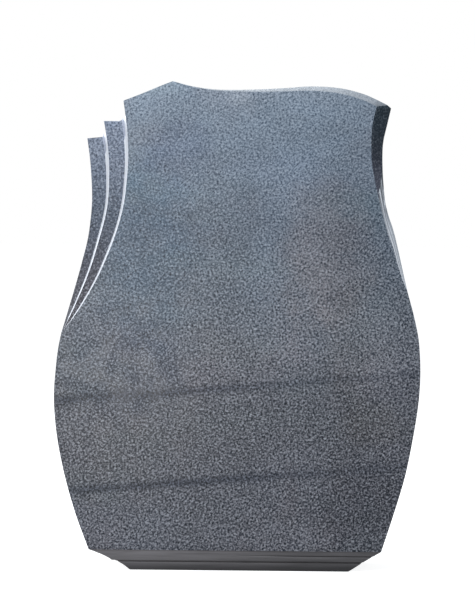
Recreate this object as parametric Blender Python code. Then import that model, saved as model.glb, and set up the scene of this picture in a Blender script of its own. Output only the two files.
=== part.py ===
"""A standing headstone of polished dark granite.

A waisted slab with two steps carved back at its upper left, a bevel along its top and a flared facet
at its upper right stands on a low foot of two tapering courses. Metres, +Z up. The front faces -Y,
and the origin is on the ground under the middle of the stone.
"""

import math

import bmesh
import bpy
from mathutils import Vector

# Driving dimensions of the slab
SLAB_WIDTH = 0.600
SLAB_HEIGHT = 0.768
SLAB_DEPTH = 0.100

# The two steps carved back at the upper left
STEP_DEPTH = 0.018
RISER_RUN = 0.0042
COVE_RUN = 0.0050
COVE_DEPTH = 0.004
COVE_LEAST_SHARE = 0.15
STEP_FILLET = 0.0085

# The bevel along the top and the facet and terraces at the upper right
RIM_WIDTH = 0.0118
RIM_DEPTH = 0.0100
RIM_GROWTH = 1.25
FLARE_DEPTH = 0.022
TERRACE_DEPTH = 0.0085

# The foot
JOINT_GAP = 0.0003
UPPER_COURSE_HEIGHT = 0.0177
LOWER_COURSE_HEIGHT = 0.0172
UPPER_COURSE_LEFT_INSET = 0.038
UPPER_COURSE_RIGHT_INSET = 0.029
LOWER_COURSE_LEFT_INSET = 0.028
LOWER_COURSE_RIGHT_INSET = 0.024
COURSE_SETBACK = 0.0015
UPPER_COURSE_DRAFT = 0.0020
LOWER_COURSE_DRAFT = 0.0060
GROOVE_DEPTH = 0.0030
GROOVE_WIDTH = 0.0026
REBATE_DEPTH = 0.0030
REBATE_HEIGHT = 0.0022

# Free lines of the slab, as shares of its half width and of its height
TOP_LEFT_SLOPE = ((-0.630, 0.958), (-0.520, 0.975), (-0.423, 0.991), (-0.364, 1.0))
TOP_EDGE = (
    (-0.364, 1.0), (-0.252, 0.9885), (-0.114, 0.981), (0.071, 0.9795), (0.250, 0.981),
    (0.365, 0.983), (0.470, 0.981), (0.573, 0.975), (0.675, 0.963), (0.742, 0.951),
)
SHOULDER = (0.805, 0.9555)
FACE_RIGHT_EDGE = (
    (0.742, 0.951), (0.727, 0.927), (0.717, 0.899), (0.7155, 0.869), (0.720, 0.832),
    (0.738, 0.792), (0.759, 0.757), (0.7745, 0.734), (0.7925, 0.708), (0.819, 0.673),
    (0.844, 0.644), (0.881, 0.597), (0.925, 0.557),
)
RIGHT_SIDE = (
    (0.826, 0.949), (0.811, 0.924), (0.795, 0.898), (0.785, 0.880), (0.780, 0.859),
    (0.780, 0.826), (0.786, 0.790), (0.799, 0.747), (0.820, 0.716), (0.840, 0.694),
    (0.866, 0.656), (0.902, 0.595), (0.925, 0.557),
)
FACE_SLANT_KNOT = 6
SIDE_SLANT_KNOT = 5

RIGHT_BODY = (
    (0.925, 0.557), (0.961, 0.507), (0.988, 0.458), (0.9985, 0.411), (1.0, 0.368),
    (0.991, 0.315), (0.966, 0.247), (0.925, 0.163), (0.863, 0.078), (0.800, 0.0),
)
LEFT_BODY = (
    (-0.806, 0.0), (-0.880, 0.078), (-0.942, 0.163), (-0.984, 0.247), (-1.0, 0.326),
    (-0.989, 0.396), (-0.976, 0.436), (-0.961, 0.465),
)
LEFT_SIDE = (
    (-0.835, 0.880), (-0.821, 0.840), (-0.811, 0.794), (-0.807, 0.749), (-0.814, 0.707),
    (-0.828, 0.665), (-0.852, 0.625), (-0.879, 0.583), (-0.910, 0.538), (-0.939, 0.496),
    (-0.961, 0.465),
)
FIRST_STEP_EDGE = (
    (-0.630, 0.958), (-0.6205, 0.932), (-0.610, 0.900), (-0.604, 0.866), (-0.6035, 0.827),
    (-0.612, 0.781), (-0.627, 0.736), (-0.660, 0.686), (-0.705, 0.638), (-0.762, 0.586),
    (-0.823, 0.542), (-0.893, 0.499), (-0.961, 0.465),
)
SECOND_STEP_EDGE = (
    (-0.740, 0.916), (-0.730, 0.894), (-0.718, 0.863), (-0.711, 0.827), (-0.710, 0.785),
    (-0.716, 0.744), (-0.732, 0.708), (-0.760, 0.667), (-0.797, 0.616), (-0.837, 0.572),
    (-0.885, 0.527), (-0.928, 0.490), (-0.961, 0.465),
)

# Each terrace leans out a little and then drops: shares of the terraces' run and of their depth
TERRACES = ((0.0, 0.0), (0.18, 0.08), (0.33, 0.42), (0.56, 0.50), (0.67, 0.80), (1.0, 1.0))

STONE_COLOUR = (0.155, 0.170, 0.195, 1.0)
FOOT_COLOUR = (0.100, 0.100, 0.105, 1.0)

SLAB_BASE = LOWER_COURSE_HEIGHT + UPPER_COURSE_HEIGHT + 2 * JOINT_GAP
FRONT = -SLAB_DEPTH / 2
REAR = SLAB_DEPTH / 2
GROOVE_SHARE = GROOVE_WIDTH / 2 / UPPER_COURSE_HEIGHT
REBATE_SHARE = REBATE_HEIGHT / LOWER_COURSE_HEIGHT
SAMPLES_PER_KNOT = 5
STEP_ROWS = 48
FILLET_STEPS = 3
FLARE_ROWS = 24
TERRACE_ROWS = 32
TERRACE_FULL_ROW = 12
COURSE_COLUMNS = 24
COURSE_ROUNDING = (0.66, 0.8, 0.92, 1.0)
STEP_FADE = [1 - (row / STEP_ROWS) ** 3 for row in range(STEP_ROWS + 1)]
COVE_FADE = [
    COVE_LEAST_SHARE + (1 - COVE_LEAST_SHARE) * (1 - row / STEP_ROWS) ** 6 for row in range(STEP_ROWS + 1)
]


def clear_scene():
    for item in list(bpy.data.objects):
        bpy.data.objects.remove(item)


def stone(name, colour, roughness):
    material = bpy.data.materials.new(name)
    material.use_nodes = True
    shader = material.node_tree.nodes["Principled BSDF"]
    shader.inputs["Base Color"].default_value = colour
    shader.inputs["Roughness"].default_value = roughness
    shader.inputs["Metallic"].default_value = 0.0
    return material


def place(share):
    """A point of the slab's plan, X and height, from its shares."""
    return Vector((share[0] * SLAB_WIDTH / 2, SLAB_BASE + share[1] * SLAB_HEIGHT))


def smooth_line(knots, samples=SAMPLES_PER_KNOT):
    """A smooth line through the knots, with the same number of samples between each two."""
    points = [place(knot) for knot in knots]
    points = [2 * points[0] - points[1]] + points + [2 * points[-1] - points[-2]]
    line = []
    for before, start, end, after in zip(points, points[1:], points[2:], points[3:]):
        for step in range(samples):
            t = step / samples
            bend = (2 * before - 5 * start + 4 * end - after) * t * t
            twist = (3 * start - before - 3 * end + after) * t * t * t
            line.append((2 * start + (end - before) * t + bend + twist) / 2)
    line.append(points[-2])
    return line


def resample(line, count):
    """The same line as count + 1 points, evenly spaced along it."""
    lengths = [0.0]
    for start, end in zip(line, line[1:]):
        lengths.append(lengths[-1] + (end - start).length)
    points = []
    index = 0
    for step in range(count):
        wanted = lengths[-1] * step / count
        while lengths[index + 1] < wanted:
            index += 1
        part = (wanted - lengths[index]) / (lengths[index + 1] - lengths[index])
        points.append(line[index].lerp(line[index + 1], part))
    points.append(line[-1])
    return points


def split_at(line, height):
    """The parts of a falling line above and below a height, which share the point there."""
    for index, (start, end) in enumerate(zip(line, line[1:])):
        if end.y <= height:
            cut = start.lerp(end, (start.y - height) / (start.y - end.y))
            return line[: index + 1] + [cut], [cut] + line[index + 1 :]
    raise ValueError("the line doesn't reach that height")


def across(line, height):
    """The X of a falling line at a height."""
    for start, end in zip(line, line[1:]):
        if end.y <= height:
            part = max(0.0, (start.y - height) / (start.y - end.y))
            return start.x + part * (end.x - start.x)
    return line[-1].x


def at_depth(line, depth):
    """A line of the plan as 3-D points, at one depth behind the front face or at one for each point."""
    depths = depth if isinstance(depth, list) else [depth] * len(line)
    return [Vector((point.x, FRONT + back, point.y)) for point, back in zip(line, depths)]


def riser(edge, outer, run, fade):
    """The foot of a step's riser: the edge moved out to the left, never past a third of the tread."""
    foot = []
    for point, part in zip(edge, fade):
        room = point.x - across(outer, point.y)
        foot.append(Vector((point.x - min(run * part, room / 3), point.y)))
    return foot


def step_down(line, depth):
    """A line of a step as 3-D points: at its depth above, fading out to the front face below."""
    return at_depth(line, [depth * part for part in STEP_FADE])


def fillet(foot_top, tread_height):
    """The hollow corner where a step's top meets the riser above it, from the riser to the top."""
    corner = Vector((foot_top.x, tread_height))
    size = foot_top.y - tread_height
    centre = corner + Vector((-size, size))
    turn = [math.radians(-45 * (1 + step / FILLET_STEPS)) for step in range(FILLET_STEPS + 1)]
    return [centre + size * Vector((math.cos(angle), math.sin(angle))) for angle in turn]


class Patchwork:
    """A closed mesh made of patches whose borders share their points."""

    def __init__(self):
        self.mesh = bmesh.new()
        self.corners = {}

    def corner(self, point):
        key = tuple(round(value, 6) for value in point)
        if key not in self.corners:
            self.corners[key] = self.mesh.verts.new(point)
        return self.corners[key]

    def face(self, points):
        ring = []
        for point in points:
            corner = self.corner(point)
            if corner not in ring:
                ring.append(corner)
        if len(ring) > 2:
            self.mesh.faces.new(ring)

    def strip(self, first, second):
        """A band of faces between two lines with as many points."""
        for step in range(len(first) - 1):
            self.face((first[step], first[step + 1], second[step + 1], second[step]))

    def finish(self, name, material):
        self.mesh.normal_update()
        bmesh.ops.triangulate(self.mesh, faces=self.mesh.faces[:])
        bmesh.ops.recalc_face_normals(self.mesh, faces=self.mesh.faces[:])
        data = bpy.data.meshes.new(name)
        self.mesh.to_mesh(data)
        self.mesh.free()
        data.materials.append(material)
        item = bpy.data.objects.new(name, data)
        bpy.context.scene.collection.objects.link(item)
        return item


def make_tablet(material):
    work = Patchwork()

    # The steps at the left: each edge, the foot of its riser, and the hollow cove below that
    side = resample(smooth_line(LEFT_SIDE), STEP_ROWS)
    first_edge = smooth_line(FIRST_STEP_EDGE)
    second_edge = smooth_line(SECOND_STEP_EDGE)
    first_top = second_edge[0].y
    second_top = side[0].y
    first_corner, first_wall = split_at(first_edge, first_top + STEP_FILLET)
    second_corner, second_wall = split_at(second_edge, second_top + STEP_FILLET)
    first_wall = resample(first_wall, STEP_ROWS)
    second_wall = resample(second_wall, STEP_ROWS)
    first_foot = riser(first_wall, second_edge, RISER_RUN, STEP_FADE)
    second_foot = riser(second_wall, side, RISER_RUN, STEP_FADE)
    first_arc = fillet(first_foot[0], first_top)
    second_arc = fillet(second_foot[0], second_top)
    first_cove = [first_arc[0]] + riser(first_foot, second_edge, COVE_RUN, COVE_FADE)[1:]
    second_cove = [second_arc[0]] + riser(second_foot, side, COVE_RUN, COVE_FADE)[1:]

    first_lines = [
        at_depth(first_wall, 0.0),
        step_down(first_foot, STEP_DEPTH - COVE_DEPTH),
        step_down(first_cove, STEP_DEPTH),
        step_down(second_wall, STEP_DEPTH),
    ]
    second_lines = [
        first_lines[-1],
        step_down(second_foot, 2 * STEP_DEPTH - COVE_DEPTH),
        step_down(second_cove, 2 * STEP_DEPTH),
        step_down(side, 2 * STEP_DEPTH),
    ]
    for lines in (first_lines, second_lines):
        for first, second in zip(lines, lines[1:]):
            work.strip(first, second)

    # The flat tops of the two treads, under their upper corners
    first_arc = at_depth(first_arc, STEP_DEPTH)
    second_arc = at_depth(second_arc, 2 * STEP_DEPTH)
    first_corner = at_depth(first_corner, 0.0)
    second_corner = at_depth(second_corner, STEP_DEPTH)
    work.face(first_arc + second_corner)
    work.face(second_arc + [second_lines[-1][0]])

    # The bevel along the top: nothing at the peak, widest at the right shoulder
    edge = smooth_line(TOP_EDGE)
    reach = edge[-1].x - edge[0].x
    growth = [((point.x - edge[0].x) / reach) ** RIM_GROWTH for point in edge]
    raised = [point + Vector((0.0, RIM_WIDTH * part)) for point, part in zip(edge, growth)]
    top = at_depth(edge, 0.0)
    rim = at_depth(raised, [RIM_DEPTH * part for part in growth])
    work.strip(top, rim)

    # The flared facet at the upper right, down to the slanting line where the terraces start
    face_edge = smooth_line(FACE_RIGHT_EDGE)
    outer_edge = smooth_line(RIGHT_SIDE)
    face_split = FACE_SLANT_KNOT * SAMPLES_PER_KNOT
    side_split = SIDE_SLANT_KNOT * SAMPLES_PER_KNOT
    fall = [
        FLARE_DEPTH + (TERRACE_DEPTH - FLARE_DEPTH) * row / FLARE_ROWS
        for row in range(FLARE_ROWS + 1)
    ]
    inner = at_depth(resample(face_edge[: face_split + 1], FLARE_ROWS), 0.0)
    outer = at_depth(resample(outer_edge[: side_split + 1], FLARE_ROWS), fall)
    shoulder = at_depth([place(SHOULDER)], (RIM_DEPTH + 2 * FLARE_DEPTH) / 3)[0]
    work.strip(inner[:-1], outer[:-1])
    work.face((inner[0], rim[-1], shoulder))
    work.face((inner[0], shoulder, outer[0]))

    # The three fine terraces below it, which run out into the side
    low_inner = resample(face_edge[face_split:], TERRACE_ROWS)
    low_outer = resample(outer_edge[side_split:], TERRACE_ROWS)
    widest = (low_outer[TERRACE_FULL_ROW] - low_inner[TERRACE_FULL_ROW]).length
    fade = [min(1.0, (b - a).length / widest) for a, b in zip(low_inner, low_outer)]
    terraces = []
    for run, drop in TERRACES:
        line = [a.lerp(b, run) for a, b in zip(low_inner, low_outer)]
        terraces.append(at_depth(line, [TERRACE_DEPTH * drop * part for part in fade]))
    for first, second in zip(terraces, terraces[1:]):
        work.strip(first, second)
    work.face([inner[-2]] + [terrace[0] for terrace in terraces] + [outer[-2]])

    # The front face, inside all of those lines
    right_body = at_depth(smooth_line(RIGHT_BODY), 0.0)
    left_body = at_depth(smooth_line(LEFT_BODY), 0.0)
    top_left = at_depth(smooth_line(TOP_LEFT_SLOPE), 0.0)
    work.face(
        top_left + top + inner + terraces[0] + right_body + left_body
        + first_lines[0][::-1] + first_corner[::-1]
    )

    # The outline, around which the slab runs straight back to its flat rear
    outline = (
        top_left + rim + [shoulder] + outer + terraces[-1] + right_body + left_body
        + second_lines[-1][::-1] + second_arc[::-1] + [second_lines[1][0]]
        + second_corner[::-1] + first_arc[::-1] + [first_lines[1][0]] + first_corner[::-1]
    )
    wall_outline(work, outline)
    return work.finish("tablet", material)


def wall_outline(work, outline):
    """Side faces from a closed outline straight back to the flat rear, and the rear itself."""
    ring = [point for point, before in zip(outline, outline[-1:] + outline) if point != before]
    rear = [Vector((point.x, REAR, point.z)) for point in ring]
    for index in range(len(ring)):
        work.face((rear[index - 1], ring[index - 1], ring[index], rear[index]))
    work.face(rear)


def straight(share):
    return share


def lobe(share):
    """An end that bulges a little."""
    return share * (5 - share * share) / 4


def round_lobe(share):
    """An end that starts almost level and rounds over."""
    return share**0.6


def make_course(name, base, height, span, ends, front_line, material):
    """One course of the foot. Shares run from 0 at its top to 1 at its bottom; span gives the X of its
    two ends at the top, and ends gives the inset and the shape of each."""
    work = Patchwork()
    groove = (0.5 - GROOVE_SHARE, 0.5, 0.5 + GROOVE_SHARE)
    shares = (0.0, REBATE_SHARE, REBATE_SHARE + 0.01, 0.3) + groove + COURSE_ROUNDING
    fronts = []
    lefts = []
    rights = []
    for share in shares:
        left = span[0] + ends[0][0] * ends[0][1](share)
        right = span[1] - ends[1][0] * ends[1][1](share)
        z = base + height * (1 - share)
        step = (right - left) / COURSE_COLUMNS
        xs = [left + step * column for column in range(COURSE_COLUMNS + 1)]
        fronts.append([Vector((x, front_line(share, x), z)) for x in xs])
        lefts.append(Vector((left, REAR, z)))
        rights.append(Vector((right, REAR, z)))
    for above, below in zip(fronts, fronts[1:]):
        work.strip(above, below)
    work.strip([row[0] for row in fronts], lefts)
    work.strip([row[-1] for row in fronts], rights)
    work.strip(lefts, rights)
    work.face(fronts[0] + [rights[0], lefts[0]])
    work.face(fronts[-1] + [rights[-1], lefts[-1]])
    return work.finish(name, material)


def make_foot(material):
    left_top = place(LEFT_BODY[0]).x
    right_top = place(RIGHT_BODY[-1]).x
    upper_front = FRONT + COURSE_SETBACK
    lower_front = upper_front + UPPER_COURSE_DRAFT + COURSE_SETBACK

    def upper_line(share, x):
        """Slopes back a little; a fine groove halfway down deepens towards the right end."""
        groove = GROOVE_DEPTH * min(1.0, max(0.0, 2 * x / right_top)) if share == 0.5 else 0.0
        return upper_front + UPPER_COURSE_DRAFT * share + groove

    def lower_line(share, x):
        """Rounds back towards the ground, under a narrow rebate along the joint."""
        rebate = REBATE_DEPTH if share <= REBATE_SHARE else 0.0
        return lower_front + LOWER_COURSE_DRAFT * share * share + rebate

    upper_ends = ((UPPER_COURSE_LEFT_INSET, lobe), (UPPER_COURSE_RIGHT_INSET, straight))
    make_course(
        "foot_upper_course", LOWER_COURSE_HEIGHT + JOINT_GAP, UPPER_COURSE_HEIGHT,
        (left_top, right_top), upper_ends, upper_line, material,
    )
    lower_span = (
        left_top + UPPER_COURSE_LEFT_INSET + COURSE_SETBACK, right_top - UPPER_COURSE_RIGHT_INSET
    )
    lower_ends = ((LOWER_COURSE_LEFT_INSET, round_lobe), (LOWER_COURSE_RIGHT_INSET, straight))
    make_course(
        "foot_lower_course", 0.0, LOWER_COURSE_HEIGHT, lower_span, lower_ends, lower_line, material
    )


def main():
    clear_scene()
    make_tablet(stone("polished_granite", STONE_COLOUR, 0.35))
    make_foot(stone("sawn_granite", FOOT_COLOUR, 0.55))


main()
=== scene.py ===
import math

import bmesh
import bpy
from mathutils import Matrix, Vector


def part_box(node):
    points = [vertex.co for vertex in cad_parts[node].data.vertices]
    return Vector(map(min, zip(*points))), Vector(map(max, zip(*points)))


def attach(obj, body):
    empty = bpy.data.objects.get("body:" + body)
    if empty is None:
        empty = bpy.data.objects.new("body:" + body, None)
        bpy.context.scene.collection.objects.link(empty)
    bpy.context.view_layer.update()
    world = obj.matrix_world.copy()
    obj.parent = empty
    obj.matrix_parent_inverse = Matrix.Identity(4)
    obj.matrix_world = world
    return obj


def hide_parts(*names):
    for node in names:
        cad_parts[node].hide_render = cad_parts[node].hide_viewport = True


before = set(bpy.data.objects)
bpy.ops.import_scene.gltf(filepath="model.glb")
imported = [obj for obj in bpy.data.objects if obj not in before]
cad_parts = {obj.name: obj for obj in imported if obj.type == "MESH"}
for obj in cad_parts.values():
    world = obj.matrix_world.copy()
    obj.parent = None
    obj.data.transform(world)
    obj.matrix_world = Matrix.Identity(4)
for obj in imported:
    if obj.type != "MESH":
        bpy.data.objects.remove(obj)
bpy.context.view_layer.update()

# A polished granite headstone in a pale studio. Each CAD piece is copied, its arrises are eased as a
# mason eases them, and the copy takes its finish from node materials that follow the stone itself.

# Where the camera stands. Lengths are in metres here and below, apart from the lens and its sensor.
LENS_MM = 100.0
SENSOR_MM = 36.0
CAMERA_DISTANCE = 2.769
CAMERA_ELEVATION = math.radians(3.0)
CAMERA_ROLL = math.radians(0.57)
CAMERA_AIM = Vector((-0.0005, -0.050, 0.4407))

# The studio: what the camera sees around the stone, the soft light from all sides, and the floor
WHITE = (1.0, 1.0, 1.0, 1.0)
FILL_COLOUR = (0.88, 0.94, 1.0, 1.0)
FILL_STRENGTH = 0.30
FLOOR_SIZE = 60.0
FLOOR_COLOUR = (0.60, 0.60, 0.60, 1.0)
FLOOR_GLOW = 0.88

# The lamps: name, place, what each points at, width and height, power in watts, and colour
MIDDLE = (0.0, 0.0, 0.45)
LAMPS = (
    ("key", (-0.9, -2.0, 2.7), (0.0, 0.0, 0.6), (1.4, 1.0), 66.0, (0.90, 0.96, 1.0)),
    ("low_front", (-1.1, -2.8, 0.2), (0.0, 0.0, 0.2), (1.2, 1.0), 30.0, (1.0, 0.97, 0.93)),
    ("top", (0.1, 0.0, 2.4), MIDDLE, (1.6, 0.8), 26.0, (0.92, 0.97, 1.0)),
    ("rim_left", (-1.9, 1.1, 1.2), MIDDLE, (0.8, 1.8), 44.0, (0.92, 0.94, 1.0)),
)

# How a piece is copied: points closer than MERGE become one, facets that differ by less than FLAT_ANGLE
# one face, and edges sharper than ARRIS_ANGLE are eased by ARRIS, or by FOOT_ARRIS on the foot. Faces
# under FLAT_AREA, in square metres, are shaded smooth across edges blunter than SMOOTH_ANGLE.
MERGE = 1e-5
FLAT_ANGLE = math.radians(0.02)
ARRIS_ANGLE = math.radians(24)
ARRIS = 0.0012
FOOT_ARRIS = 0.0006
ARRIS_STEPS = 2
FLAT_AREA = 0.004
SMOOTH_ANGLE = math.radians(32)

# The grain: the size of its wavy spots and of its single crystals, and the share of each
WORMS = 0.0026
CRYSTALS = 0.0020
WORM_SHARE = 2.5
CRYSTAL_SHARE = 0.95

# Each spot is set off by this much from what lies at six places around it
SET_OFF = 0.075
APART = 0.0038
AROUND = [math.radians(step * 60 + 15) for step in range(6)]
NEIGHBOURS = [(APART * math.cos(turn), 0.0, APART * math.sin(turn)) for turn in AROUND]

# The light that a pale crystal adds, how strongly each colour drops in a dark one, and the share of each
# colour that even the darkest one keeps
PALE_CRYSTAL = (0.198, 0.206, 0.228)
DROP_HUE = (1.10, 1.02, 0.92)
DARKEST_CRYSTAL = (0.05, 0.06, 0.08)

# Noise between these two values is spread over a finish's whole range
NOISE_LOW, NOISE_HIGH = 0.3, 0.7

# The polish: the size of its uneven patches, and its least and greatest roughness
FACE_POLISH = (0.03, 0.36, 0.48)
FACET_POLISH = (0.03, 0.18, 0.30)
RUBBED = (0.02, 0.4, 0.55)
SAWN_ROUGH = (0.02, 0.6, 0.75)
HONED = (0.45, 0.6)
PLAIN_ROUGHNESS = 0.5

# The face's colour from its foot, 0, to its top, 1: partly the stone's own tone, partly painted sheen,
# as it grows lighter and bluer towards the top where light from above falls on the polish
FACE_TONES_AND_SHEEN = (
    (0.0, (0.108, 0.112, 0.134)),
    (0.25, (0.101, 0.103, 0.121)),
    (0.33, (0.102, 0.106, 0.125)),
    (0.42, (0.122, 0.130, 0.153)),
    (0.55, (0.114, 0.134, 0.165)),
    (0.69, (0.101, 0.126, 0.165)),
    (0.80, (0.128, 0.163, 0.213)),
    (0.92, (0.155, 0.197, 0.253)),
    (1.0, (0.185, 0.227, 0.286)),
)

# The strength of the face's grain: from the foot to a fifth of the height, and at the top
FACE_GRAIN_FROM = 0.2
FACE_GRAIN_LOW, FACE_GRAIN_HIGH = 1.22, 0.68
FACE_BUMP = (0.0001, 0.15)

# Broad changes of hue over the face: size, detail, how much it is squeezed along each axis, the noise
# values where a change starts and where it is full, and its tint
HUES = (
    (0.10, 3.0, (1.0, 1.0, 0.6), 0.45, 0.72, (1.06, 0.99, 0.97)),
    (0.16, 2.0, (0.6, 1.0, 1.5), 0.50, 0.70, (0.97, 1.02, 0.99)),
)

# Faint lighter and darker flecks over the face: size, detail, squeeze, noise values and range
FLECKS = (0.045, 3.0, (0.7, 1.0, 1.4))
FLECK_RANGE = (0.25, 0.75, 0.90, 1.10)

# Clouds in the stone: the middle's X and height, half width, half height and tint
CLOUDS = (
    (-0.155, 0.530, 0.110, 0.190, (0.65, 0.83, 0.94)),
    (-0.100, 0.690, 0.070, 0.065, (0.84, 0.86, 0.93)),
    (0.085, 0.480, 0.090, 0.230, (1.25, 1.25, 1.24)),
    (0.075, 0.650, 0.120, 0.050, (1.09, 1.08, 1.09)),
    (0.085, 0.165, 0.080, 0.070, (1.14, 1.14, 1.14)),
    (-0.003, 0.777, 0.026, 0.015, (1.32, 1.26, 1.20)),
    (-0.074, 0.605, 0.006, 0.013, (1.50, 1.46, 1.42)),
    (0.142, 0.525, 0.090, 0.150, (1.24, 1.04, 0.95)),
    (0.210, 0.380, 0.080, 0.120, (1.15, 1.12, 1.07)),
    (0.225, 0.250, 0.070, 0.050, (0.90, 0.86, 0.80)),
    (0.250, 0.300, 0.060, 0.140, (1.18, 1.16, 1.18)),
    (-0.080, 0.350, 0.220, 0.070, (1.06, 1.02, 1.02)),
    (-0.190, 0.335, 0.160, 0.100, (0.60, 0.67, 0.77)),
    (-0.200, 0.075, 0.120, 0.060, (1.12, 1.14, 1.16)),
    (0.215, 0.110, 0.090, 0.090, (0.66, 0.66, 0.69)),
    (0.085, 0.050, 0.090, 0.050, (1.18, 1.20, 1.20)),
)

# A cloud's border: the size of its ragged parts, how ragged it is, and where it ends, in half widths
RAGS = 0.05
RAGGEDNESS = 1.2
CLOUD_END = 1.1

# Seams across the face: height at the middle, slope, half width, how dark, and the X where they fade
SEAMS = (
    (0.3055, 0.082, 0.012, 0.56, 0.03),
    (0.1542, 0.079, 0.013, 0.56, 0.07),
    (0.4496, 0.072, 0.012, 0.16, -0.05),
    (0.6574, 0.047, 0.012, -0.08, 0.25),
)

# What a seam takes of each colour, how far it strays over which length, the patches in it, and how far
# around its fading point it thins out, and to which share
SEAM_TINT = (1.0, 0.94, 0.82)
SEAM_STRAY = 0.010
SEAM_STRAY_SIZE = 0.09
SEAM_PATCHES = (0.05, 2.0)
SEAM_PATCH_RANGE = (0.30, 0.55, 0.7, 1.0)
SEAM_FADE = 0.12
SEAM_FADED = 0.45

# The smaller faces' colours, each over a band of heights, and the strength of the grain in them; some of
# these colours paint light and shade, as said at each
# Painted shade: the facet is the same stone as the face, made nearly black where it turns away from the
# light
FACET_PAINTED_SHADE = ((0.0, (0.082, 0.086, 0.115)), (0.45, (0.026, 0.031, 0.046)), (1.0, (0.014, 0.029, 0.044)))
FACET_BAND = (0.61, 0.76)
FACET_GRAIN = 0.38
# Painted light and shade: the treads' tops take the face's painted sheen, and their lower parts are
# darkened as painted shade in the steps' recess
TREAD_TONES_AND_SHADE = ((0.0, (0.042, 0.037, 0.050)), (0.5, (0.052, 0.072, 0.108)), (1.0, (0.160, 0.195, 0.270)))
TREAD_BAND = (0.42, 0.76)
TREAD_GRAIN = 0.80
# Painted highlight: the coves' tops are pale where they catch the light, and grow dark like the tread
# below
COVE_PAINTED_HIGHLIGHT = ((0.0, (0.062, 0.062, 0.078)), (1.0, (0.50, 0.54, 0.66)))
COVE_BAND = (0.58, 0.74)
COVE_GRAIN = 0.3
LEDGE_TONES = ((0.0, (0.36, 0.38, 0.42)), (1.0, (0.15, 0.16, 0.18)))
LEDGE_BAND = (0.575, 0.625)
LEDGE_GRAIN = 0.15

# The faces of one colour, and the strength of the grain in them
# The risers' near white is partly a lighter rubbed finish and partly a painted reflection of the bright
# surround that they catch at a grazing angle
RISER_TONE_AND_REFLECTION = (0.92, 0.94, 1.0)
RISER_GRAIN = 0.08
RIM_TONE = (0.220, 0.238, 0.266)
RIM_GRAIN = 0.3
BACK_TONE = (0.19, 0.195, 0.205)
BACK_GRAIN = 0.6

# The saw's level marks on the back: size, detail and squeeze, then the bump's depth and strength
SAW_MARKS = (0.02, 2.0, (0.05, 1.0, 6.0))
SAW_BUMP = (0.0006, 0.4)

# The foot's courses: grey at the bottom and at the top, darker at the bottom as painted shade, shares of
# it left and right, lighter on the left as painted light from that side, and the X from which the right
# share holds
COURSE_TONES_AND_PAINTED_LIGHT = {
    "foot_upper_course": (0.125, 0.160, 1.36, 0.79, 0.12),
    "foot_lower_course": (0.066, 0.126, 1.22, 0.84, 0.20),
}
FOOT_TINT = (1.01, 0.965, 1.02)

# The level streaks in both courses: size, detail and squeeze, and the least and greatest share of light
STREAKS = (0.004, 2.0, (0.06, 0.3, 1.0))
STREAK_RANGE = (0.88, 1.12)

# The shaded joint along the lower course's top: its height, and the share of light left in it
JOINT = 0.0022
JOINT_LIGHT = 0.2

# The finishes' places in the slab's list of materials
GRANITE, FACET, RISER, SAWN, RIM, TREAD, COVE, LEDGE = range(8)

# How a face of the slab is told apart. A face's Y is 1 when it looks back and -1 when it looks to the
# front, and its Z is 1 when it looks up.
LOOKS_BACK = 0.9
LOOKS_ASIDE = -0.05
FLUSH = 0.0002
STEPS_END = -0.15
RISER_END = -0.6
COVE_END = -0.97
LOOKS_UP = 0.35
LEDGE_START = -0.8

# The slanting line, in X and height, above which the right corner's facet lies
SLANT_FOOT = Vector((0.2277, 0.6165))
SLANT_SLOPE = 8.4

LOW, HIGH = (Vector(corner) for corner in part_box("tablet"))


def main():
    make_camera()
    make_studio()
    finishes = [
        face_granite(), facet_granite(), pale_riser(), sawn_back(), rim_granite(), tread_granite(),
        cove_granite(), ledge_granite(),
    ]
    dress_tablet(finishes)
    dress_course("foot_upper_course")
    dress_course("foot_lower_course")


# Camera and studio


def make_camera():
    data = bpy.data.cameras.new("camera")
    data.sensor_fit = "VERTICAL"
    data.sensor_height = SENSOR_MM
    data.lens = LENS_MM
    camera = bpy.data.objects.new("camera", data)
    bpy.context.scene.collection.objects.link(camera)
    back = Vector((0.0, -math.cos(CAMERA_ELEVATION), math.sin(CAMERA_ELEVATION)))
    tilt = Matrix.Rotation(math.radians(90) - CAMERA_ELEVATION, 4, "X")
    roll = Matrix.Rotation(CAMERA_ROLL, 4, "Z")
    place = Matrix.Translation(CAMERA_AIM + CAMERA_DISTANCE * back)
    camera.matrix_world = place @ tilt @ roll
    bpy.context.scene.camera = camera


def make_studio():
    scene = bpy.context.scene
    scene.view_settings.view_transform = "Standard"
    scene.view_settings.look = "None"
    make_surround(scene)
    make_floor()
    for lamp in LAMPS:
        area_light(*lamp)


def make_surround(scene):
    """A white surround for the camera, and a softer bluish one for the light on the stone."""
    world = bpy.data.worlds.new("studio")
    scene.world = world
    world.use_nodes = True
    nodes, links = world.node_tree.nodes, world.node_tree.links
    nodes.clear()
    path = nodes.new("ShaderNodeLightPath")
    seen = nodes.new("ShaderNodeBackground")
    seen.inputs["Color"].default_value = WHITE
    fill = nodes.new("ShaderNodeBackground")
    fill.inputs["Color"].default_value = FILL_COLOUR
    fill.inputs["Strength"].default_value = FILL_STRENGTH
    mix = nodes.new("ShaderNodeMixShader")
    out = nodes.new("ShaderNodeOutputWorld")
    links.new(path.outputs["Is Camera Ray"], mix.inputs["Fac"])
    links.new(fill.outputs["Background"], mix.inputs[1])
    links.new(seen.outputs["Background"], mix.inputs[2])
    links.new(mix.outputs["Shader"], out.inputs["Surface"])


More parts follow.
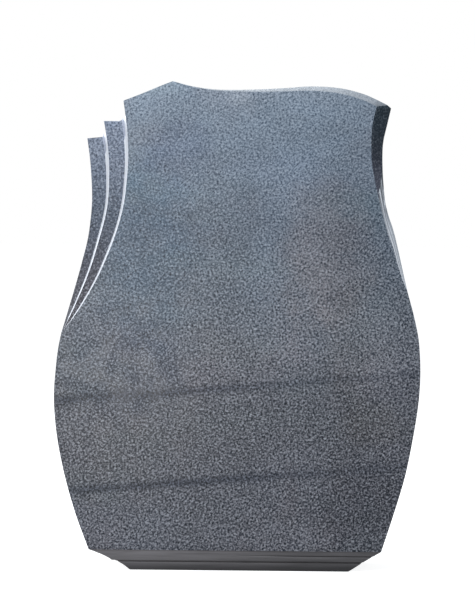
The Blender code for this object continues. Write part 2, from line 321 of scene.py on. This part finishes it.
def make_floor():
    """A pale floor that shows only to the camera, so that it throws no light back at the stone."""
    bpy.ops.mesh.primitive_plane_add(size=FLOOR_SIZE, location=(0.0, 0.0, 0.0))
    floor = bpy.context.object
    floor.name = "floor"
    material = bpy.data.materials.new("pale_floor")
    material.use_nodes = True
    shader = material.node_tree.nodes["Principled BSDF"]
    shader.inputs["Base Color"].default_value = FLOOR_COLOUR
    shader.inputs["Roughness"].default_value = 1.0
    shader.inputs["Specular IOR Level"].default_value = 0.0
    shader.inputs["Emission Color"].default_value = WHITE
    shader.inputs["Emission Strength"].default_value = FLOOR_GLOW
    floor.data.materials.append(material)
    floor.visible_diffuse = False
    floor.visible_glossy = False


def area_light(name, place, target, size, power, colour):
    data = bpy.data.lights.new(name, "AREA")
    data.shape = "RECTANGLE"
    data.size, data.size_y = size
    data.energy = power
    data.color = colour
    lamp = bpy.data.objects.new(name, data)
    lamp.location = place
    lamp.rotation_euler = (Vector(target) - Vector(place)).to_track_quat("-Z", "Y").to_euler()
    bpy.context.scene.collection.objects.link(lamp)


# Building blocks for the materials


class Finish:
    """A node material, built step by step. Its values are numbers or the sockets of nodes."""

    def __init__(self, name):
        self.material = bpy.data.materials.new(name)
        self.material.use_nodes = True
        self.tree = self.material.node_tree
        self.shader = self.tree.nodes["Principled BSDF"]
        self.place = self.node("TexCoord").outputs["Object"]

    def node(self, kind, inputs=None, **settings):
        made = self.tree.nodes.new("ShaderNode" + kind)
        for key, value in settings.items():
            setattr(made, key, value)
        for socket, value in (inputs or {}).items():
            self.feed(made.inputs[socket], value)
        return made

    def feed(self, socket, value):
        if isinstance(value, bpy.types.NodeSocket):
            self.tree.links.new(value, socket)
        else:
            socket.default_value = value

    def math(self, operation, first, second=0.0):
        return self.node("Math", {0: first, 1: second}, operation=operation).outputs["Value"]

    def vector(self, operation, first, second):
        made = self.node("VectorMath", {0: first, 1: second}, operation=operation)
        return made.outputs["Vector"]

    def spread(self, value, low, high, start=0.0, end=1.0):
        """The value from low to high, laid out between start and end."""
        inputs = {"Value": value, 1: low, 2: high, 3: start, 4: end}
        made = self.node("MapRange", inputs, interpolation_type="SMOOTHSTEP")
        return made.outputs["Result"]

    def along(self, axis):
        """The place along an axis of the piece, in metres."""
        return self.node("SeparateXYZ", {"Vector": self.place}).outputs[axis]

    def stretched(self, squeeze, shift):
        """The piece's coordinates, in metres, multiplied along each axis and then shifted."""
        made = self.node("Mapping", {"Vector": self.place, "Scale": squeeze, "Location": shift})
        return made.outputs["Vector"]

    def crystals(self, size, shift=(0.0, 0.0, 0.0)):
        """One value from 0 to 1 for each crystal of about that size."""
        place = self.stretched((1.0, 1.0, 1.0), shift)
        made = self.node("TexVoronoi", {"Vector": place, "Scale": 1 / size})
        split = self.node("SeparateColor", {"Color": made.outputs["Color"]})
        return split.outputs["Red"]

    def cloud(self, size, detail=3.0, squeeze=(1.0, 1.0, 1.0), shift=(0.0, 0.0, 0.0)):
        """Soft noise around 0.5, with spots of about that size; a squeeze over 1 shortens them."""
        inputs = {"Vector": self.stretched(squeeze, shift), "Scale": 1 / size, "Detail": detail}
        return self.node("TexNoise", inputs).outputs["Fac"]

    def uneven(self, size, least, most):
        """A value that wanders between least and most, in patches of about that size."""
        return self.spread(self.cloud(size), NOISE_LOW, NOISE_HIGH, least, most)

    def times(self, colour, value, tint=(1.0, 1.0, 1.0)):
        """A colour made lighter or darker by a factor, and tinted."""
        scaled = self.node("VectorMath", {0: colour, "Scale": value}, operation="SCALE")
        return self.vector("MULTIPLY", scaled.outputs["Vector"], tint)

    def blend(self, share, first, second):
        inputs = {"Factor": share, 4: first, 5: second}
        return self.node("Mix", inputs, data_type="VECTOR").outputs[1]

    def ramp(self, value, stops):
        """The stops' colours, run through as the value goes from 0 to 1."""
        made = self.node("ValToRGB", {"Fac": value})
        points = made.color_ramp.elements
        while len(points) < len(stops):
            points.new(0.5)
        for point, (place, colour) in zip(points, stops):
            point.position = place
            point.color = (*colour, 1.0)
        return made.outputs["Color"]

    def by_height(self, band, stops):
        """The stops' colours, run through over a band of heights."""
        return self.ramp(self.spread(self.along("Z"), *band), stops)

    def bump(self, height, distance, strength):
        inputs = {"Height": height, "Distance": distance, "Strength": strength}
        self.feed(self.shader.inputs["Normal"], self.node("Bump", inputs).outputs["Normal"])

    def coat(self, tone, roughness):
        """Gives the finish its colour and roughness, and hands over the material."""
        self.feed(self.shader.inputs["Base Color"], tone)
        self.feed(self.shader.inputs["Roughness"], roughness)
        return self.material


def grain_at(finish, shift):
    """The grain's value some way off: below 0 in a dark crystal, above 0 in a pale one."""
    worms = finish.math("SUBTRACT", finish.cloud(WORMS, 0.0, shift=shift), 0.5)
    single = finish.math("SUBTRACT", finish.crystals(CRYSTALS, shift), 0.5)
    worms = finish.math("MULTIPLY", worms, WORM_SHARE)
    single = finish.math("MULTIPLY", single, CRYSTAL_SHARE)
    return finish.math("ADD", worms, single)


def speckled(finish, tone, contrast):
    """The granite's grain over a tone: dark crystals keep its hue, and pale ones are near white.

    Each spot is set off from what lies around it, so pale ones don't gather in large blotches.
    """
    grain = grain_at(finish, (0.0, 0.0, 0.0))
    for shift in NEIGHBOURS:
        beside = finish.math("MULTIPLY", grain_at(finish, shift), SET_OFF)
        grain = finish.math("SUBTRACT", grain, beside)
    drop = finish.math("MULTIPLY", finish.math("MINIMUM", grain, 0.0), contrast)
    left = finish.vector("ADD", finish.times(DROP_HUE, drop), (1.0, 1.0, 1.0))
    left = finish.vector("MAXIMUM", left, DARKEST_CRYSTAL)
    shade = finish.vector("MULTIPLY", tone, left)
    lift = finish.math("MULTIPLY", finish.math("MAXIMUM", grain, 0.0), contrast)
    return finish.vector("ADD", shade, finish.times(PALE_CRYSTAL, lift))


def seam(finish, level, slope, width, depth, fade):
    """How much light a seam across the stone, rising to the right, takes away."""
    across = finish.along("X")
    stray = finish.math("SUBTRACT", finish.cloud(SEAM_STRAY_SIZE), 0.5)
    stray = finish.math("MULTIPLY", stray, SEAM_STRAY)
    line = finish.math("SUBTRACT", finish.along("Z"), finish.math("MULTIPLY", across, slope))
    off = finish.math("ABSOLUTE", finish.math("SUBTRACT", finish.math("ADD", line, stray), level))
    near = finish.spread(off, 0.0, width, 1.0, 0.0)
    patchy = finish.spread(finish.cloud(*SEAM_PATCHES), *SEAM_PATCH_RANGE)
    fading = finish.spread(across, fade - SEAM_FADE, fade + SEAM_FADE, 1.0, SEAM_FADED)
    share = finish.math("MULTIPLY", finish.math("MULTIPLY", near, patchy), fading)
    return finish.math("MULTIPLY", share, depth)


def patch(finish, x, z, half_width, half_height):
    """How much of a cloud in the stone there is: 1 in its middle, 0 at its ragged border."""
    side = finish.math("DIVIDE", finish.math("SUBTRACT", finish.along("X"), x), half_width)
    rise = finish.math("DIVIDE", finish.math("SUBTRACT", finish.along("Z"), z), half_height)
    squares = finish.math("ADD", finish.math("POWER", side, 2.0), finish.math("POWER", rise, 2.0))
    rags = finish.math("SUBTRACT", finish.cloud(RAGS), 0.5)
    rags = finish.math("MULTIPLY", rags, RAGGEDNESS)
    return finish.spread(finish.math("ADD", squares, rags), 0.0, CLOUD_END, 1.0, 0.0)


# The slab's finishes


def face_granite():
    """The polished face and sides: tones by height, with painted sheen that makes the top lighter and
    bluer, clouds, hues and grain, then the dark seams.
    """
    finish = Finish("face_granite")
    level = finish.math("SUBTRACT", finish.along("Z"), LOW.z)
    level = finish.math("DIVIDE", level, HIGH.z - LOW.z)
    # Tones by height: the lighter, bluer top is painted sheen, standing in for light from above
    tone = finish.ramp(level, FACE_TONES_AND_SHEEN)
    for x, z, half_width, half_height, tint in CLOUDS:
        share = patch(finish, x, z, half_width, half_height)
        tone = finish.blend(share, tone, finish.times(tone, 1.0, tint))
    for size, detail, squeeze, start, full, tint in HUES:
        share = finish.spread(finish.cloud(size, detail, squeeze), start, full)
        tone = finish.blend(share, tone, finish.times(tone, 1.0, tint))
    flecks = finish.spread(finish.cloud(*FLECKS), *FLECK_RANGE)
    contrast = finish.spread(level, FACE_GRAIN_FROM, 1.0, FACE_GRAIN_LOW, FACE_GRAIN_HIGH)
    tone = speckled(finish, finish.times(tone, flecks), contrast)
    light = (1.0, 1.0, 1.0)
    for look in SEAMS:
        light = finish.vector("SUBTRACT", light, finish.times(SEAM_TINT, seam(finish, *look)))
    tone = finish.vector("MULTIPLY", tone, light)
    finish.bump(finish.crystals(CRYSTALS), *FACE_BUMP)
    return finish.coat(tone, finish.uneven(*FACE_POLISH))


def facet_granite():
    """The right corner's polished facet, in painted shade: nearly black, and a little lighter near its
    lower end.
    """
    finish = Finish("facet_painted_shade")
    tone = speckled(finish, finish.by_height(FACET_BAND, FACET_PAINTED_SHADE), FACET_GRAIN)
    return finish.coat(tone, finish.uneven(*FACET_POLISH))


def pale_riser():
    """The steps' and the terraces' risers, painted nearly white: partly a lighter rubbed finish, partly
    a painted reflection of the bright surround.
    """
    finish = Finish("pale_edge_and_reflection")
    tone = speckled(finish, RISER_TONE_AND_REFLECTION, RISER_GRAIN)
    return finish.coat(tone, finish.uneven(*RUBBED))


def tread_granite():
    """The steps' flat treads: as the face at their tops, with its painted sheen, and darker where they
    run out below, as painted shade in the recess.
    """
    finish = Finish("tread_granite")
    tone = speckled(finish, finish.by_height(TREAD_BAND, TREAD_TONES_AND_SHADE), TREAD_GRAIN)
    return finish.coat(tone, finish.uneven(*FACE_POLISH))


def cove_granite():
    """The hollow at a riser's foot: a painted highlight, pale and soft at the top, and like the tread
    below.
    """
    finish = Finish("cove_granite")
    tone = speckled(finish, finish.by_height(COVE_BAND, COVE_PAINTED_HIGHLIGHT), COVE_GRAIN)
    return finish.coat(tone, PLAIN_ROUGHNESS)


def ledge_granite():
    """The terraces' narrow ledges, rubbed to a plain grey."""
    finish = Finish("ledge_granite")
    tone = speckled(finish, finish.by_height(LEDGE_BAND, LEDGE_TONES), LEDGE_GRAIN)
    return finish.coat(tone, PLAIN_ROUGHNESS)


def rim_granite():
    """The bevel along the top, a plain pale grey."""
    finish = Finish("rim_granite")
    tone = speckled(finish, RIM_TONE, RIM_GRAIN)
    return finish.coat(tone, finish.uneven(*RUBBED))


def sawn_back():
    """The flat back, as the saw leaves it."""
    finish = Finish("sawn_back")
    tone = speckled(finish, BACK_TONE, BACK_GRAIN)
    finish.bump(finish.cloud(*SAW_MARKS), *SAW_BUMP)
    return finish.coat(tone, finish.uneven(*SAWN_ROUGH))


# The foot's finish


def foot_granite(node):
    """Honed stone with painted shade: darker at the bottom and, as painted light from the left, darker
    to the right, with level streaks.
    """
    low, high = (Vector(corner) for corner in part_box(node))
    finish = Finish(node + "_granite")
    height = finish.along("Z")
    dark, light, left, right, reach = COURSE_TONES_AND_PAINTED_LIGHT[node]
    level = finish.spread(height, low.z, high.z)
    # Painted shade: each course grows darker towards its bottom
    tone = finish.ramp(level, ((0.0, (dark, dark, dark)), (1.0, (light, light, light))))
    streak = finish.cloud(*STREAKS)
    tone = finish.times(tone, finish.spread(streak, NOISE_LOW, NOISE_HIGH, *STREAK_RANGE), FOOT_TINT)
    if node == "foot_lower_course":
        tone = finish.times(tone, finish.spread(height, high.z - JOINT, high.z, 1.0, JOINT_LIGHT))
    # Painted light from the left: lighter on the left, darker to the right
    tone = finish.times(tone, finish.spread(finish.along("X"), low.x, reach, left, right))
    return finish.coat(tone, finish.spread(streak, NOISE_LOW, NOISE_HIGH, *HONED))


# The stone's pieces


def eased_copy(node, name, arris, choose):
    """A copy of a CAD piece: its flat faces are merged, it takes its finishes, and arrises are eased."""
    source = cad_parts[node]
    work = bmesh.new()
    work.from_mesh(source.data)
    work.transform(source.matrix_world)
    bmesh.ops.remove_doubles(work, verts=work.verts[:], dist=MERGE)
    bmesh.ops.dissolve_limit(work, angle_limit=FLAT_ANGLE, verts=work.verts[:], edges=work.edges[:])
    for face in work.faces:
        face.material_index = choose(face)
        face.smooth = face.calc_area() < FLAT_AREA
    crisp = [edge for edge in work.edges if edge.calc_face_angle(0.0) > ARRIS_ANGLE]
    bmesh.ops.bevel(
        work, geom=crisp, offset=arris, segments=ARRIS_STEPS, profile=0.5, affect="EDGES",
        clamp_overlap=True, material=-1,
    )
    data = bpy.data.meshes.new(name)
    work.to_mesh(data)
    work.free()
    data.set_sharp_from_angle(angle=SMOOTH_ANGLE)
    piece = bpy.data.objects.new(name, data)
    bpy.context.scene.collection.objects.link(piece)
    return piece


def tablet_finish(face):
    """Which finish a face of the slab has, as its place in the list of finishes."""
    way, middle = face.normal, face.calc_center_median()
    if way.y > LOOKS_BACK:
        return SAWN
    if way.y > LOOKS_ASIDE or middle.y < LOW.y + FLUSH:
        return GRANITE
    if middle.x < STEPS_END:
        if way.y > RISER_END:
            return RISER
        return COVE if way.y > COVE_END else TREAD
    if way.z > LOOKS_UP:
        return RIM
    if middle.z - SLANT_FOOT.y > SLANT_SLOPE * (middle.x - SLANT_FOOT.x):
        return FACET
    return LEDGE if way.y < LEDGE_START else RISER


def dress_tablet(finishes):
    piece = eased_copy("tablet", "granite_tablet", ARRIS, tablet_finish)
    for finish in finishes:
        piece.data.materials.append(finish)
    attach(piece, "root")
    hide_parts("tablet")


def dress_course(node):
    piece = eased_copy(node, "granite_" + node, FOOT_ARRIS, lambda face: 0)
    piece.data.materials.append(foot_granite(node))
    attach(piece, "root")
    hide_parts(node)


main()
